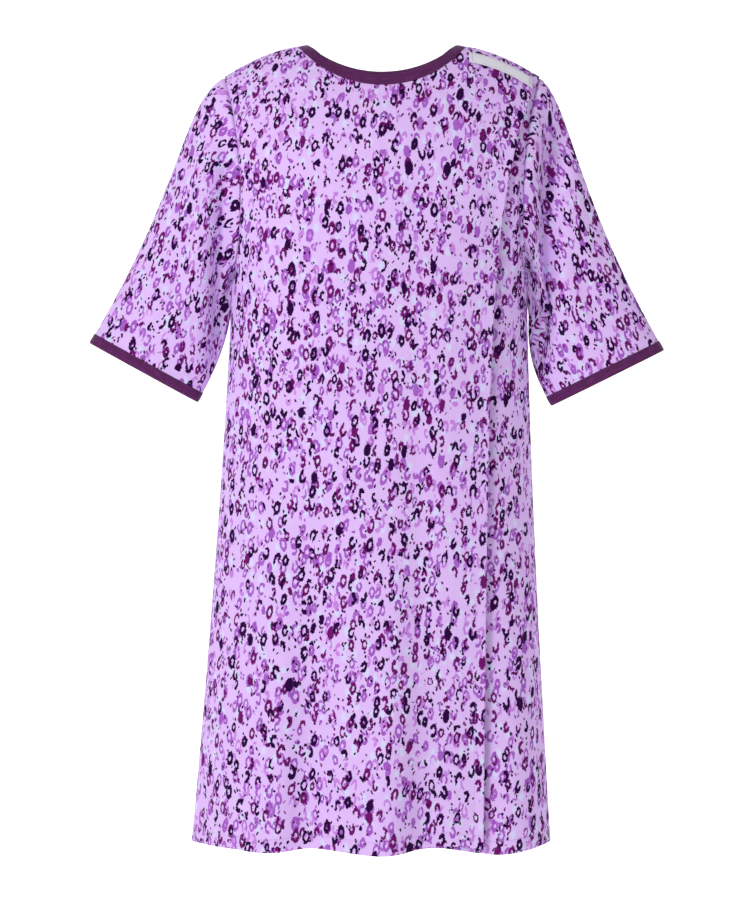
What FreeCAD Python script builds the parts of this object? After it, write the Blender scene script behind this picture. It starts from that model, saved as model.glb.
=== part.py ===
"""Open-backed patient gown with elbow sleeves, hanging as it is worn. Millimetres, +Z up.

The origin is the hanging point: midway between the two neck points, on the shoulder ridge.
The back of the gown faces -Y, the wearer's left is -X. Two back panels overlap. The under panel
is sewn to the right side and right shoulder, the over panel to the left side and left shoulder,
and the over panel's free corner snaps down on the right shoulder.
"""

import FreeCAD
import Part

import math
import os

VECTOR = FreeCAD.Vector

# Driving dimensions
LENGTH = 1096.0  # neck point to hem
CLOTH = 1.2  # thickness that stands for the woven cloth
LAYER_GAP = 3.6  # room between the two back panels, which the snaps fill
SEAM_GAP = 2.0  # half of the slot that a sewn seam's allowance lies in
NECK_HALF = 104.0  # half of the neck opening's width
BACK_NECK_DROP = 54.0
UNDER_NECK_DROP = 45.7
FRONT_NECK_DROP = 98.0
RIDGE_TOP, RIDGE_POWER = -2.0, 1.7  # height at the neck points, and the shoulder line's curve
SHOULDER_TIP = VECTOR(217.0, 0, -45.0)
ARMHOLE_WAIST = VECTOR(194.0, 0, -165.0)
ARMPIT = VECTOR(207.0, 0, -331.0)
CHEST_HALF = 203.5
YOKE_EXTRA = 45.0  # how much wider the yoke's section is than the chest's, before the armhole is cut
HEM_HALF = 247.0
HEM_SWAY = 15.0  # the skirt hangs a little to the wearer's left
BACK_DEPTH, BACK_HEM_DEPTH = 88.0, 115.0
FRONT_DEPTH, FRONT_HEM_DEPTH, BUST = 98.0, 125.0, 12.0
BUST_LEVEL, BUST_SPREAD = 280.0, 130.0
ROUND_DROP = 170.0  # the shoulders round over within this drop
ROUND_POWER = 0.65
SHOULDER_FADE = 300.0  # the shoulder slope has died out by this drop
BINDING_WIDTH, BINDING_CLOTH = 12.0, 0.8
CUFFS = {  # outer and inner corner of each sleeve's end
    "left": (VECTOR(-403.5, 0, -410), VECTOR(-255, 0, -491.5)),
    "right": (VECTOR(389, 0, -420), VECTOR(234.5, 0, -496.5)),
}
SLEEVE_TOP_X = {"left": 276.0, "right": 261.0}  # how far out the upper sleeve hangs
SLEEVE_END_DEPTH = 31.0
ARMHOLE_BOW = 18.5  # how far the armhole's curve reaches in from the line of its ends
ARMHOLE_SEAM_DEPTH, ARMHOLE_SEAM_RISE = 27.0, 30.0  # the allowance ends above the armpit
ARMPIT_ROUND = 16.0  # least depth of the sleeve's oval, which keeps the armpit round
SLEEVE_END_LENGTH = 118.0  # the part below the elbow line, which bends forward
SLEEVE_BEND = 50.0
BEND_GAP, BEND_ROUND = 0.6, 4.0  # room at the elbow line, and the rounding of its wedge
TURNS = [math.pi * step / 16 for step in range(33)]
FREE_EDGE_X, FREE_EDGE_LEAN = 147.0, 0.0105  # the free edge low down, and its slope
FREE_EDGE_REACH, FREE_EDGE_TURN = 70.0, 150.0  # how it runs out to the shoulder tip
FOLD_LINE_X, FOLD_GAP = -120.0, 0.5  # the over panel folds back along a line at this place
TRIM = 0.25  # play left where trim lies on cloth
SNAP_XS, SNAP_DROP = (133.0, 161.0, 189.0), 23.0
SNAP_RADIUS, RING_THICK, SHANK_RADIUS = 4.8, 0.7, 1.2
STUD_TOP = 2.1  # offset of a stud plate's face from the body's surface
DOME_RADIUS, DOME_HEIGHT = 1.9, 1.2
SOCKET_LOW, SOCKET_MOUTH = 2.5, 3.9
TAPE_XS, TAPE_LEVELS, TAPE_THICK = (118.0, 203.0), (15.5, 30.5), 0.7
LABEL_WIDTH, LABEL_LEVELS, LABEL_THICK = 38.0, (66.0, 108.0), 0.6
OVER_LOW = CLOTH + LAYER_GAP  # offset of the over panel's inner face
BIG = 1500.0


def ridge(x):
    """Height of the shoulder ridge over x."""
    past_neck = max(0.0, abs(x) - NECK_HALF)
    share = past_neck / (SHOULDER_TIP.x - NECK_HALF)
    return RIDGE_TOP + (SHOULDER_TIP.z - RIDGE_TOP) * share**RIDGE_POWER


def smooth(share):
    share = min(max(share, 0.0), 1.0)
    return share * share * (3 - 2 * share)


def half_width(drop):
    if drop < -ARMPIT.z:
        return CHEST_HALF + YOKE_EXTRA * (1 + math.cos(math.pi * drop / -ARMPIT.z)) / 2
    flare = ((drop + ARMPIT.z) / (LENGTH + ARMPIT.z)) ** 1.35
    return CHEST_HALF + (HEM_HALF - CHEST_HALF) * flare


def sway(drop):
    return -HEM_SWAY * (drop / LENGTH) ** 1.2


def depth(side, drop):
    """Depth of the gown's section behind (side -1) or before (side 1) its side seams."""
    share = drop / LENGTH
    if side < 0:
        full = BACK_DEPTH + (BACK_HEM_DEPTH - BACK_DEPTH) * share
    else:
        bump = math.exp(-(((drop - BUST_LEVEL) / BUST_SPREAD) ** 2))
        full = FRONT_DEPTH + (FRONT_HEM_DEPTH - FRONT_DEPTH) * share + BUST * bump
    if drop < ROUND_DROP:
        full *= (1 - (1 - drop / ROUND_DROP) ** 2) ** ROUND_POWER
    return full


def torso(side, across, drop):
    """A point of the gown's body. across runs from -1 to 1, side seam to side seam."""
    turn = math.pi / 2 * across
    x = sway(drop) + half_width(drop) * math.sin(turn)
    z = -drop + ridge(x) * (1 - smooth(drop / SHOULDER_FADE))
    return VECTOR(x, side * depth(side, drop) * math.cos(turn), z)


def outward(side, across, drop):
    """Unit normal of the body, out of the gown."""
    step_a, step_d = 1e-3, 0.05
    along_a = torso(side, across + step_a, drop) - torso(side, across - step_a, drop)
    along_d = torso(side, across, drop + step_d) - torso(side, across, drop - step_d)
    normal = along_a.cross(along_d)
    if normal.y * side < 0:
        normal = normal * -1
    return normal.normalize()


def spread(low, high, count):
    return [low + (high - low) * i / (count - 1) for i in range(count)]


def levels_between(low, high):
    """Levels down a panel, closer together where the shoulders round over."""
    end = min(high, ROUND_DROP)
    turns = spread(math.acos(1 - low / ROUND_DROP), math.acos(1 - end / ROUND_DROP), 9)
    rounded = [ROUND_DROP * (1 - math.cos(turn)) for turn in turns]
    return rounded + (spread(ROUND_DROP, high, 12)[1:] if high > ROUND_DROP else [])


def skin(side, acrosses, levels, offset):
    grid = [
        [torso(side, a, d) + outward(side, a, d) * offset for d in levels]
        for a in acrosses
    ]
    surface = Part.BSplineSurface()
    surface.interpolate(grid)
    return surface


def body_sheet(side, low, high, acrosses=(-0.985, 0.985), levels=(0.5, LENGTH)):
    """Solid between two offsets, low and high, of the body's surface."""
    a_list, d_list = spread(*acrosses, 17), levels_between(*levels)
    inner, outer = (skin(side, a_list, d_list, offset) for offset in (low, high))
    faces = [inner.toShape(), outer.toShape()]
    u0, u1, v0, v1 = inner.bounds()
    for iso, value in (("uIso", u0), ("uIso", u1), ("vIso", v0), ("vIso", v1)):
        edges = [getattr(surface, iso)(value).toShape() for surface in (inner, outer)]
        faces.append(Part.makeRuledSurface(*edges))
    return closed(faces)


def closed(faces):
    body = Part.makeCompound(faces)
    body.sewShape(1e-3)
    solid = Part.Solid(body.Shells[0])
    return solid if solid.Volume > 0 else solid.reversed()


def prism(edges, low=-BIG, high=BIG):
    """An outline in the XZ plane, drawn right through the gown from y low to high."""
    face = Part.Face(Part.Wire(edges))
    face.translate(VECTOR(0, low, 0))
    return face.extrude(VECTOR(0, high - low, 0))


def polygon(*points):
    return Part.makePolygon([*points, points[0]]).Edges


def arc(a, b, c):
    return Part.Arc(a, b, c).toShape()


def curve(points):
    spline = Part.BSplineCurve()
    spline.interpolate(points)
    return spline.toShape()


def line(a, b):
    return Part.LineSegment(a, b).toShape()


def mirrored(point):
    return VECTOR(-point.x, point.y, point.z)


def armhole_arc(outset):
    """The right armhole's line moved outwards, as three points."""
    return [p + VECTOR(outset, 0, 0) for p in (SHOULDER_TIP, ARMHOLE_WAIST, ARMPIT)]


def armhole_block(right, outset=0.0):
    """Everything beyond one armhole's line."""
    top, waist, pit = armhole_arc(outset)
    far = 700.0
    corners = [
        VECTOR(pit.x, 0, pit.z),
        VECTOR(far, 0, pit.z),
        VECTOR(far, 0, 60),
        VECTOR(top.x, 0, 60),
        top,
    ]
    flip = (lambda p: p) if right else mirrored
    corners = [flip(p) for p in corners]
    edges = [line(a, b) for a, b in zip(corners, corners[1:])]
    return prism(edges + [arc(flip(top), flip(waist), flip(pit))])


def neck_block(drop, grow=0.0):
    """The neck opening, as a prism with a round bottom, made larger all round by grow."""
    left, right = VECTOR(-NECK_HALF - grow, 0, 0), VECTOR(NECK_HALF + grow, 0, 0)
    top = VECTOR(0, 0, 90)
    edges = [
        arc(left, VECTOR(0, 0, -drop - grow), right),
        line(right, right + top),
        line(right + top, left + top),
        line(left + top, left),
    ]
    return prism(edges)


def free_edge_x(z):
    """Where the over panel's free edge lies at height z."""
    down = SHOULDER_TIP.z - z
    return FREE_EDGE_X - FREE_EDGE_LEAN * down + FREE_EDGE_REACH * math.exp(-down / FREE_EDGE_TURN)


def edge_block(mirror):
    """Everything past a back panel's free edge."""
    heights = [0.0, -45.0, -90.0, -140.0, -200.0, -280.0, -400.0, -700.0, -1160.0]
    sign = -1 if mirror else 1
    points = [VECTOR(sign * free_edge_x(z), 0, z) for z in heights]
    points[0].z = 60.0
    far = VECTOR(sign * 700, 0, 0)
    corners = [points[-1], far + VECTOR(0, 0, -1160), far + VECTOR(0, 0, 60), points[0]]
    return prism([line(a, b) for a, b in zip(corners, corners[1:])] + [curve(points)], high=-1)


def slab(low_x, high_x, top=60.0, bottom=-BIG):
    corners = [(low_x, bottom), (high_x, bottom), (high_x, top), (low_x, top)]
    return prism(polygon(*[VECTOR(x, 0, z) for x, z in corners]))


def without(shape, *cutters):
    for cutter in cutters:
        shape = shape.cut(cutter)
    return shape


def front_panel():
    panel = body_sheet(1, 0.0, CLOTH)
    return without(
        panel, neck_block(FRONT_NECK_DROP), armhole_block(True), armhole_block(False)
    )


def back_under_panel():
    panel = body_sheet(-1, 0.0, CLOTH)
    return without(
        panel,
        neck_block(UNDER_NECK_DROP),
        armhole_block(True),
        armhole_block(False),
        edge_block(True),
        *[hole for sign in (-1, 1) for hole in holes(sign, -1, 3)],
    )


def over_panel():
    panel = body_sheet(-1, OVER_LOW, OVER_LOW + CLOTH)
    cutters = (neck_block(BACK_NECK_DROP), armhole_block(False), edge_block(False))
    return without(panel, *cutters, *holes(1, OVER_LOW - 1, OVER_LOW + 3))


def neck_binding(side, offset, drop, limits):
    """Tape folded over a neck edge: a leaf outside, a leaf inside and the fold between."""
    reach = BINDING_CLOTH + TRIM
    band = body_sheet(side, offset - reach, offset + CLOTH + reach, levels=(0.5, 240.0))
    band = band.common(neck_block(drop, BINDING_WIDTH))
    band = band.cut(neck_block(drop, -BINDING_CLOTH))
    room = body_sheet(side, offset - TRIM, offset + CLOTH + TRIM, levels=(0.5, 260.0))
    room = room.cut(neck_block(drop, -TRIM))
    return band.cut(room).common(slab(*limits))


def bezier(points, share):
    """A point on the Bezier curve that these control points give."""
    while len(points) > 1:
        points = [a + (b - a) * share for a, b in zip(points, points[1:])]
    return points[0]


def sleeve_edges(name):
    """Control points of a sleeve's outer edge and of its underarm edge."""
    flip = (lambda x, z: VECTOR(-x, 0, z)) if name == "left" else (lambda x, z: VECTOR(x, 0, z))
    outer_end, inner_end = CUFFS[name]
    over = OVER_LOW if name == "left" else 0.0
    top_x, pit_x = SHOULDER_TIP.x + SEAM_GAP, ARMPIT.x + SEAM_GAP + over
    out_x = SLEEVE_TOP_X[name]
    outer = [flip(top_x, SHOULDER_TIP.z), flip(out_x, -75), flip(out_x, -200), outer_end]
    inner = [flip(pit_x, ARMPIT.z + 6), flip(pit_x + 4, -410), inner_end]
    return outer, inner


def armhole_depth(side, z):
    """How far behind or before the middle the body's surface meets the armhole at height z."""
    fall = (SHOULDER_TIP.z - z) / (SHOULDER_TIP.z - ARMPIT.z)
    x = SHOULDER_TIP.x + (ARMPIT.x - SHOULDER_TIP.x) * fall - 4 * ARMHOLE_BOW * fall * (1 - fall)
    low, high = 0.0, LENGTH
    for _ in range(40):
        drop = (low + high) / 2
        if -drop + ridge(x) * (1 - smooth(drop / SHOULDER_FADE)) > z:
            low = drop
        else:
            high = drop
    inside = 1 - ((x - sway(drop)) / half_width(drop)) ** 2
    return depth(side, drop) * math.sqrt(max(inside, 0.0))


def sleeve_point(name, share, turn, inset):
    """A point of a sleeve, share 0 at the armhole to 1 at its end, turned round its oval."""
    outer_points, inner_points = sleeve_edges(name)
    outer, inner = bezier(outer_points, share), bezier(inner_points, share)
    centre, half = (outer + inner) / 2, (outer - inner) / 2
    half *= (half.Length - inset) / half.Length
    side = 1 if math.sin(turn) > 0 else -1
    start_z = (outer_points[0].z + inner_points[0].z) / 2
    start_z += (outer_points[0].z - inner_points[0].z) / 2 * math.cos(turn)
    layers = OVER_LOW + CLOTH if (name, side) == ("left", -1) else CLOTH
    round_turn = abs(math.sin(turn))
    start = math.hypot(armhole_depth(side, start_z), ARMPIT_ROUND * round_turn)
    start += layers * round_turn
    end = SLEEVE_END_DEPTH * round_turn
    deep = start + (end - start) * share - inset * round_turn
    bow = ARMHOLE_BOW * ((1 - share) * round_turn) ** 2
    inward = VECTOR(bow if name == "left" else -bow, 0, 0)
    return centre + half * math.cos(turn) + VECTOR(0, side * deep, 0) + inward


def sleeve_direction(name):
    """Unit vector down a sleeve, square to its end."""
    outer, inner = CUFFS[name]
    across = inner - outer
    down = VECTOR(across.z, 0, -across.x)
    return (down if down.z < 0 else down * -1).normalize()


def share_where(name, turn, height):
    """Share at which one line down a sleeve is height(place) above the sleeve's end."""
    down, end = sleeve_direction(name), (CUFFS[name][0] + CUFFS[name][1]) / 2
    low, high = 0.0, 1.0
    for _ in range(30):
        share = (low + high) / 2
        place = sleeve_point(name, share, turn, 0)
        if (end - place).dot(down) > height(place):
            low = share
        else:
            high = share
    return share


def elbow_height(place, below):
    """Height above a sleeve's end at which it is cut, with a wedge in front for the bend."""
    in_front = (place.y + math.hypot(place.y, BEND_ROUND)) / 2
    room = BEND_GAP + in_front * math.tan(math.radians(SLEEVE_BEND / 2 + 1))
    return SLEEVE_END_LENGTH - (room if below else -room)


def wall(name, inset, limits):
    """One face of a sleeve, between two shares that may vary round its oval."""
    start, stop = limits
    rows = []
    for part in spread(0, 1, 7):
        shares = [a + (b - a) * part for a, b in zip(start, stop)]
        rows.append([sleeve_point(name, s, t, inset) for s, t in zip(shares, TURNS)])
    surface = Part.BSplineSurface()
    surface.interpolate(rows)
    return surface


def sleeve_part(name, below):
    """The upper part of a sleeve, or its end, as a tube with a thin wall."""
    cut = [share_where(name, turn, lambda p: elbow_height(p, below)) for turn in TURNS]
    limits = (cut, [1.0] * len(TURNS)) if below else ([0.0] * len(TURNS), cut)
    walls = [wall(name, inset, limits) for inset in (0.0, CLOTH)]
    faces = [surface.toShape() for surface in walls]
    for end in walls[0].bounds()[:2]:
        faces.append(Part.makeRuledSurface(*[surface.uIso(end).toShape() for surface in walls]))
    return closed(faces)


def cuff_ring(name, inset, past_end):
    """A closed curve round a sleeve's end, past_end below it or, if negative, above it."""
    shift = sleeve_direction(name) * max(past_end, 0.0)
    points = []
    for turn in TURNS:
        share = share_where(name, turn, lambda _: -past_end) if past_end < 0 else 1.0
        points.append(sleeve_point(name, share, turn, inset) + shift)
    return curve(points)


def cuff_binding(name):
    """Tape folded over a sleeve's end."""
    reach = BINDING_CLOTH + TRIM
    rings = [
        cuff_ring(name, -reach, reach - BINDING_WIDTH),
        cuff_ring(name, -reach, reach),
        cuff_ring(name, CLOTH + reach, reach),
        cuff_ring(name, CLOTH + reach, reach - BINDING_WIDTH),
        cuff_ring(name, CLOTH + TRIM, reach - BINDING_WIDTH),
        cuff_ring(name, CLOTH + TRIM, TRIM),
        cuff_ring(name, -TRIM, TRIM),
        cuff_ring(name, -TRIM, reach - BINDING_WIDTH),
    ]
    return closed([Part.makeRuledSurface(a, b) for a, b in zip(rings, rings[1:] + rings[:1])])


def seam_strip(points, inward, low, high):
    """A sewn seam's allowance: a strip that stands inwards from the seam line."""
    near = [p + inward * low for p in points]
    far = [p + inward * high for p in points]
    edges = [curve(near), line(near[-1], far[-1]), curve(far), line(far[0], near[0])]
    return prism(edges, -CLOTH * 0.7, CLOTH * 0.7)


def side_seam(right):
    across = 1 if right else -1
    levels = spread(-ARMPIT.z + 6, LENGTH - 1, 8)
    points = [torso(-1, across, level) for level in levels]
    return seam_strip(points, VECTOR(-across, 0, 0), 0.5, 9.5)


def shoulder_seam(right):
    sign = 1 if right else -1
    xs = spread(NECK_HALF + 3, SHOULDER_TIP.x - 8, 7)
    points = [VECTOR(sign * x, 0, ridge(x)) for x in xs]
    return seam_strip(points, VECTOR(0, 0, -1), 1.0, 10.0)


def armhole_seam(right):
    """The allowance that stands inwards all round an armhole."""
    middle = (SHOULDER_TIP + ARMPIT) / 2 + VECTOR(0, 0, ARMHOLE_SEAM_RISE / 2)
    high = (SHOULDER_TIP.z - ARMPIT.z - ARMHOLE_SEAM_RISE) / 2

    def tube(inset):
        oval = Part.Ellipse(VECTOR(0, 0, 0), high - inset, ARMHOLE_SEAM_DEPTH - inset).toShape()
        face = Part.Face(Part.Wire(oval))
        face.Placement = FreeCAD.Placement(
            VECTOR(0, 0, middle.z),
            FreeCAD.Rotation(VECTOR(0, 0, 1), VECTOR(0, 1, 0), VECTOR(1, 0, 0), "XYZ"),
        )
        return face.extrude(VECTOR(400 if right else -400, 0, 0))

    ring = tube(3.0).cut(tube(11.0))
    return ring.common(armhole_block(right, -2.6)).cut(armhole_block(right, -1.0))


def across_at(x, drop):
    """The across value at which the body passes over x, at one level."""
    return math.asin((x - sway(drop)) / half_width(drop)) * 2 / math.pi


def patch(x_range, levels, low, high):
    """A piece of flat tape on the back, between two x and two levels below the ridge."""
    middle = sum(levels) / 2
    acrosses = [across_at(x, middle) for x in sorted(x_range)]
    return body_sheet(-1, low, high, acrosses, levels)


def disc(x, radius, low, high, top_radius=None):
    """A round plate or cone on the back at x, between two offsets from the body's surface."""
    across = across_at(x, SNAP_DROP)
    normal = outward(-1, across, SNAP_DROP)
    place = torso(-1, across, SNAP_DROP) + normal * low
    if top_radius is None:
        return Part.makeCylinder(radius, high - low, place, normal)
    return Part.makeCone(radius, top_radius, high - low, place, normal)


def snap_xs(sign):
    return [sign * x for x in SNAP_XS]


def stud(x):
    """A stud on the under panel: plate, dome, and the shank that goes through the cloth."""
    plate = disc(x, SNAP_RADIUS, CLOTH + TRIM, STUD_TOP)
    dome = disc(x, DOME_RADIUS, STUD_TOP, STUD_TOP + DOME_HEIGHT, DOME_RADIUS - 0.6)
    shank = disc(x, SHANK_RADIUS, -RING_THICK - TRIM, CLOTH + TRIM)
    return plate.fuse([dome, shank])


def socket(x, pierced):
    """A socket under the over panel. A pierced one has a shank that goes out through the cloth."""
    body = disc(x, SNAP_RADIUS, SOCKET_LOW, OVER_LOW - TRIM)
    mouth = disc(x, SOCKET_MOUTH, SOCKET_LOW, SOCKET_LOW + DOME_HEIGHT, SOCKET_MOUTH - 1.55)
    shank = disc(x, SHANK_RADIUS, OVER_LOW - TRIM, OVER_LOW + CLOTH + TRIM + RING_THICK)
    return body.cut(mouth).fuse(shank) if pierced else body.cut(mouth)


def prong_ring(x, low):
    ring = disc(x, SNAP_RADIUS, low, low + RING_THICK)
    return ring.cut(disc(x, SHANK_RADIUS + TRIM, low - 1, low + RING_THICK + 1))


def holes(sign, low, high, radius=None):
    """The holes that a row of snaps needs in one layer."""
    radius = radius or SHANK_RADIUS + TRIM
    return [disc(x, radius, low, high) for x in snap_xs(sign)]


def snaps(sign, side, pierced):
    """The three snaps of one shoulder, as groups. Unpierced sockets are sewn on and have no ring."""
    xs = snap_xs(sign)
    groups = {
        "stud_rings": [prong_ring(x, -TRIM - RING_THICK) for x in xs],
        "studs": [stud(x) for x in xs],
        "sockets": [socket(x, pierced) for x in xs],
    }
    if pierced:
        groups["socket_rings"] = [prong_ring(x, OVER_LOW + CLOTH + TRIM) for x in xs]
    return {f"{side}_snap_{name}": Part.makeCompound(group) for name, group in groups.items()}


def closure_tape(sign, low):
    """Twill tape sewn over a row of prong rings, with room for them."""
    ends = [sign * x for x in TAPE_XS]
    tape = patch(ends, TAPE_LEVELS, low, low + RING_THICK + 2 * TRIM + TAPE_THICK)
    deep = low + RING_THICK + 2 * TRIM
    lows = (low - 1, deep) if low > 0 else (low + TAPE_THICK, 1)
    return tape.cut(Part.makeCompound(holes(sign, *lows, SNAP_RADIUS + 2 * TRIM)))


def care_label():
    """Blank label that hangs inside the back neck."""
    low = -BINDING_CLOTH - 2 * TRIM - LABEL_THICK
    return patch((-LABEL_WIDTH / 2, LABEL_WIDTH / 2), LABEL_LEVELS, low, low + LABEL_THICK)


def save(shapes):
    os.makedirs("parts", exist_ok=True)
    for name, shape in shapes.items():
        shape.exportStep(f"parts/{name}.step")
        solids = shape.Solids
        print(name, len(solids), "solids", round(sum(s.Volume for s in solids)), "mm3", shape.isValid())


def build():
    over = over_panel()
    flap_room = (FOLD_LINE_X + FOLD_GAP, BIG)
    shapes = {
        "front_panel": front_panel(),
        "back_under_panel": back_under_panel(),
        "over_panel_side": over.common(slab(-BIG, FOLD_LINE_X - FOLD_GAP)),
        "over_panel_flap": over.common(slab(*flap_room)),
        "front_neck_binding": neck_binding(1, 0.0, FRONT_NECK_DROP, (-BIG, BIG)),
        "under_neck_binding": neck_binding(-1, 0.0, UNDER_NECK_DROP, (-BIG, BIG)),
        "over_neck_binding": neck_binding(-1, OVER_LOW, BACK_NECK_DROP, flap_room),
        "shoulder_tape": closure_tape(1, OVER_LOW + CLOTH + TRIM),
        "hidden_tape": closure_tape(-1, -RING_THICK - 5 * TRIM - TAPE_THICK),
        "care_label": care_label(),
        **snaps(1, "right", True),
        **snaps(-1, "left", False),
    }
    for name in ("left", "right"):
        right = name == "right"
        shapes[f"{name}_sleeve_head"] = sleeve_part(name, False)
        shapes[f"{name}_sleeve_end"] = sleeve_part(name, True)
        shapes[f"{name}_cuff_binding"] = cuff_binding(name)
        shapes[f"{name}_side_seam"] = side_seam(right)
        shapes[f"{name}_shoulder_seam"] = shoulder_seam(right)
        shapes[f"{name}_armhole_seam"] = armhole_seam(right)
    return shapes


save(build())
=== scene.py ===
import math

import bpy
import numpy as np
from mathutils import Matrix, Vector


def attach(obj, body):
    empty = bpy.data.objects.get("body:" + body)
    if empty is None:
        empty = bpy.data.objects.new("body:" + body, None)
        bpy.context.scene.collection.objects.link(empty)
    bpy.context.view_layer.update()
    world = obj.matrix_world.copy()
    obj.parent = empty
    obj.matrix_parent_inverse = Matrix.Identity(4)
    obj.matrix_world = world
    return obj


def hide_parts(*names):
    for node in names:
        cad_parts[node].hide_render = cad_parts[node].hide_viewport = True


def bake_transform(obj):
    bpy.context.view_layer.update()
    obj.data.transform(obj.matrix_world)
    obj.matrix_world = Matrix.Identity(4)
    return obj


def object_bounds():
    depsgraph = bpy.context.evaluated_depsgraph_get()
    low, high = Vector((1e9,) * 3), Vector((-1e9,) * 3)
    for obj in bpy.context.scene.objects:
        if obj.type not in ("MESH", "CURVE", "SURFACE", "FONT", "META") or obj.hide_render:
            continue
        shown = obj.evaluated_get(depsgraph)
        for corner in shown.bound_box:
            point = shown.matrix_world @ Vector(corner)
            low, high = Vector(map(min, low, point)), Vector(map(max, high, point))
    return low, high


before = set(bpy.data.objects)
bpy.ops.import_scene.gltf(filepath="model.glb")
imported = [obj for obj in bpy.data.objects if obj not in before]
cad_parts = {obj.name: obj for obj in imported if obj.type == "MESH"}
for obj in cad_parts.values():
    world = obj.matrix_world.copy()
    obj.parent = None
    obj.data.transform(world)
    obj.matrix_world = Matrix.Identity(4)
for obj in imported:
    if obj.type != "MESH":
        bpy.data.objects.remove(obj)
CAD_BOX = [list(corner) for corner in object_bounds()]

bl_info = {
    "name": "Patient gown",
    "version": (1, 0, 0),
    "blender": (4, 5, 0),
    "location": "View3D > Sidebar > Gown",
    "description": "Builds an open-backed patient gown on its packed frame",
    "category": "Add Mesh",
}

# Cut of the gown, in metres. The back faces -Y and the wearer's left is -X.
FRONT, BACK = 1, -1
LENGTH = 1.096
NECK_HALF = 0.104
NECK_DROPS = {"front": 0.098, "under": 0.0457, "over": 0.054}
RIDGE_TOP, RIDGE_POWER = -0.002, 1.7
TIP_X, TIP_Z = 0.217, -0.045
PIT_X, PIT_Z = 0.207, -0.331
ARMHOLE_BOW = 0.0185
ARMHOLE_CREASE = 0.0042
CHEST_HALF, YOKE_EXTRA, HEM_HALF, HEM_SWAY = 0.2035, 0.045, 0.247, 0.015
ROUND_DROP, ROUND_POWER, SHOULDER_FADE = 0.170, 0.65, 0.300
CUFFS = {"left": ((-0.4035, -0.4100), (-0.2550, -0.4915)), "right": ((0.3890, -0.4200), (0.2345, -0.4965))}
SLEEVE_OUTER = {"left": ((-0.275, -0.075), (-0.276, -0.200)), "right": ((0.261, -0.075), (0.262, -0.200))}
SLEEVE_INNER = {"left": ((-0.207, -0.380), (-0.217, -0.425)), "right": ((0.202, -0.385), (0.194, -0.432))}
CUFF_HALF_DEPTH = 0.031
UNDER_LIFT, OVER_LIFT, SEWN_LIFT = 0.0006, 0.0054, 0.0007

# Folds of the back at the hem: places across, and the half turns of the swing at each
BACK_FOLDS = (-0.27, -0.155, -0.092, 0.0, 0.085, 0.19, 0.27), (-0.8, 0, 1, 2, 3, 4, 4.7)
# Drags in the back: depth, lean, place and spread across, place and spread down
BACK_DRAGS = (
    (0.0035, 0.0, 0.055, 0.020, 0.62, 0.30),
    (0.0030, 0.0, -0.075, 0.018, 0.80, 0.25),
    (0.0028, 0.12, -0.165, 0.014, 0.24, 0.10),
    (0.0026, -0.15, 0.150, 0.014, 0.25, 0.11),
)
# Drags in each sleeve: depth, lean and its height, place and spread across, start and fade-in
SLEEVE_DRAGS = {
    "left": (
        (0.024, 0.0, 0.304, 0.215, 0.019, 0.09, 0.09),
        (0.004, 0.42, 0.35, 0.290, 0.013, 0.22, 0.06),
    ),
    "right": (
        (0.034, -0.124, 0.304, 0.221, 0.018, 0.05, 0.08),
        (0.004, 0.36, 0.35, 0.284, 0.013, 0.24, 0.06),
    ),
}
# Twill tapes at the shoulders: places across and drops below the ridge, and their thickness
TAPE_ACROSS, TAPE_DROPS, TAPE_THICK = (0.118, 0.203), (0.0155, 0.0305), 0.0007


def paint(code):
    """Linear colour from a two-digits-a-channel code."""
    channels = [int(code[i : i + 2], 16) / 255 for i in (0, 2, 4)]
    return tuple(c / 12.92 if c <= 0.04045 else ((c + 0.055) / 1.055) ** 2.4 for c in channels)


def colour_property(name, description, code):
    return bpy.props.FloatVectorProperty(
        name=name, description=description, subtype="COLOR", size=3, min=0.0, max=1.0, default=paint(code)
    )


def length_property(name, description, default):
    return bpy.props.FloatProperty(
        name=name, description=description, default=default, min=0.0, precision=4, unit="LENGTH"
    )


class GownSizes(bpy.types.PropertyGroup):
    cloth: length_property("Cloth", "Thickness of the printed cloth", 0.0007)
    hem: length_property("Hem", "Depth of the sewn hem", 0.018)
    facing: length_property("Facing", "Width of the facing along a free edge", 0.013)
    binding: length_property("Binding", "Width of the neck and cuff binding", 0.0132)
    hem_wave: length_property("Hem wave", "How far the hem swings in and out", 0.013)
    stitch: length_property("Stitch", "Length of one machine stitch", 0.0024)
    floor: length_property("Floor", "Gap between the hem and the floor", 0.45)


class GownColours(bpy.types.PropertyGroup):
    ground: colour_property("Ground", "Lilac ground of the print", "dbb8f2")
    haze: colour_property("Haze", "Pale spots of the print", "d0d4f2")
    orchid: colour_property("Orchid", "Lightest strokes of the print", "c07cd8")
    purple: colour_property("Purple", "Middle strokes of the print", "9c50bc")
    plum: colour_property("Plum", "Red-purple strokes of the print", "6a1066")
    eggplant: colour_property("Eggplant", "Darkest strokes of the print", "28003c")
    binding: colour_property("Binding", "Neck and cuff binding", "50164f")
    twill: colour_property("Twill", "Tape over the snaps", "ece8f4")
    label: colour_property("Label", "Blank care label", "f2f0f4")
    snap: colour_property("Snaps", "Snap fasteners", "c9c6cf")
    thread: colour_property("Thread", "Sewing thread in the printed cloth", "c49adf")


# Shape of the hanging cloth


def fade(share):
    share = np.clip(share, 0.0, 1.0)
    return share * share * (3 - 2 * share)


def bump(where, middle, spread):
    return np.exp(-(((where - middle) / spread) ** 2))


def ridge(x):
    past_neck = np.maximum(0.0, np.abs(x) - NECK_HALF) / (TIP_X - NECK_HALF)
    return RIDGE_TOP + (TIP_Z - RIDGE_TOP) * past_neck**RIDGE_POWER


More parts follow.
